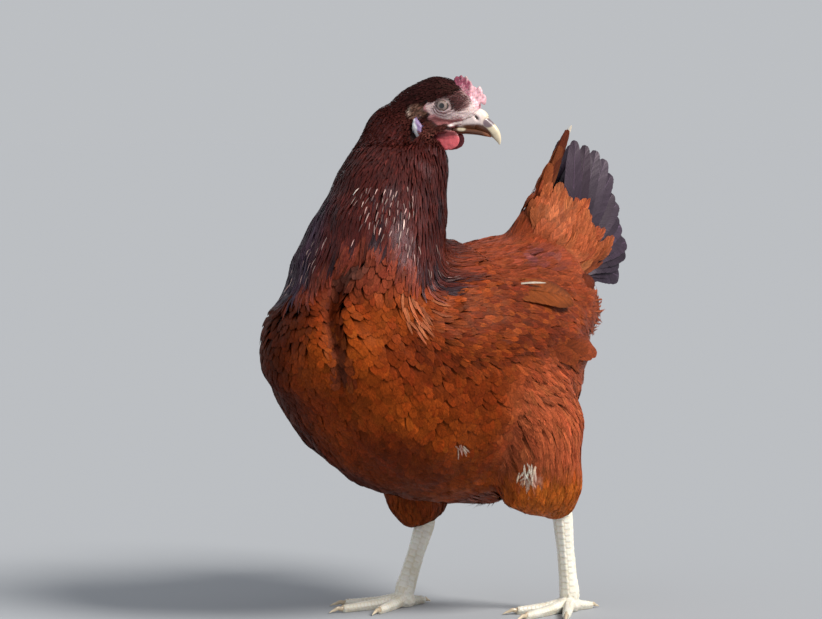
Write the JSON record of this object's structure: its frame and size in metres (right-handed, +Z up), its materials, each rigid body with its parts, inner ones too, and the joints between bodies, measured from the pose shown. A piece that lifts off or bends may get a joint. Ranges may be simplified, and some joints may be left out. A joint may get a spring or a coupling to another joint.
{
  "type": "standing hen, still life-size model",
  "caption": "Life-size still model of a mahogany-red laying hen in mid-step, its head turned back over its left shoulder and its tail raised.",
  "frame": {"origin": "on the floor, under the middle of the bird's box", "axes": "+Z up; the body faces -Y and its left side is +X; the head is turned 125 degrees to its left"},
  "size_m": [0.2024, 0.3518, 0.429],
  "materials": {
    "plumage_rust": "glossy reddish brown feathers",
    "plumage_maroon": "dark mahogany hackle feathers with a silky gloss",
    "plumage_tail": "slate-black tail feathers with rust coverts",
    "comb_skin": "bare red skin, pebbled",
    "ear_lobe": "bare pale skin, wrinkled",
    "beak_horn": "horn, dark above and cream at the edges and tip",
    "leg_scales": "pale yellow scales",
    "claw_horn": "horn",
    "eye": "wet and clear"
  },
  "bodies": {
    "root": {"beak_lower": "beak_horn", "beak_upper": "beak_horn", "claw_left_hind": "claw_horn", "claw_left_inner": "claw_horn", "claw_left_middle": "claw_horn", "claw_left_outer": "claw_horn", "claw_right_hind": "claw_horn", "claw_right_inner": "claw_horn", "claw_right_middle": "claw_horn", "claw_right_outer": "claw_horn", "comb": "comb_skin", "earlobe_left": "ear_lobe", "earlobe_right": "ear_lobe", "eye_left": "eye", "eye_right": "eye", "head": "plumage_maroon", "neck": "plumage_maroon", "shank_left": "leg_scales", "shank_right": "leg_scales", "tail": "plumage_tail", "thigh_left": "plumage_rust", "thigh_right": "plumage_rust", "toe_left_hind": "leg_scales", "toe_left_inner": "leg_scales", "toe_left_middle": "leg_scales", "toe_left_outer": "leg_scales", "toe_right_hind": "leg_scales", "toe_right_inner": "leg_scales", "toe_right_middle": "leg_scales", "toe_right_outer": "leg_scales", "trunk": "plumage_rust", "wattle_left": "comb_skin", "wattle_right": "comb_skin", "wing_left": "plumage_rust", "wing_right": "plumage_rust"}
  },
  "joints": []
}
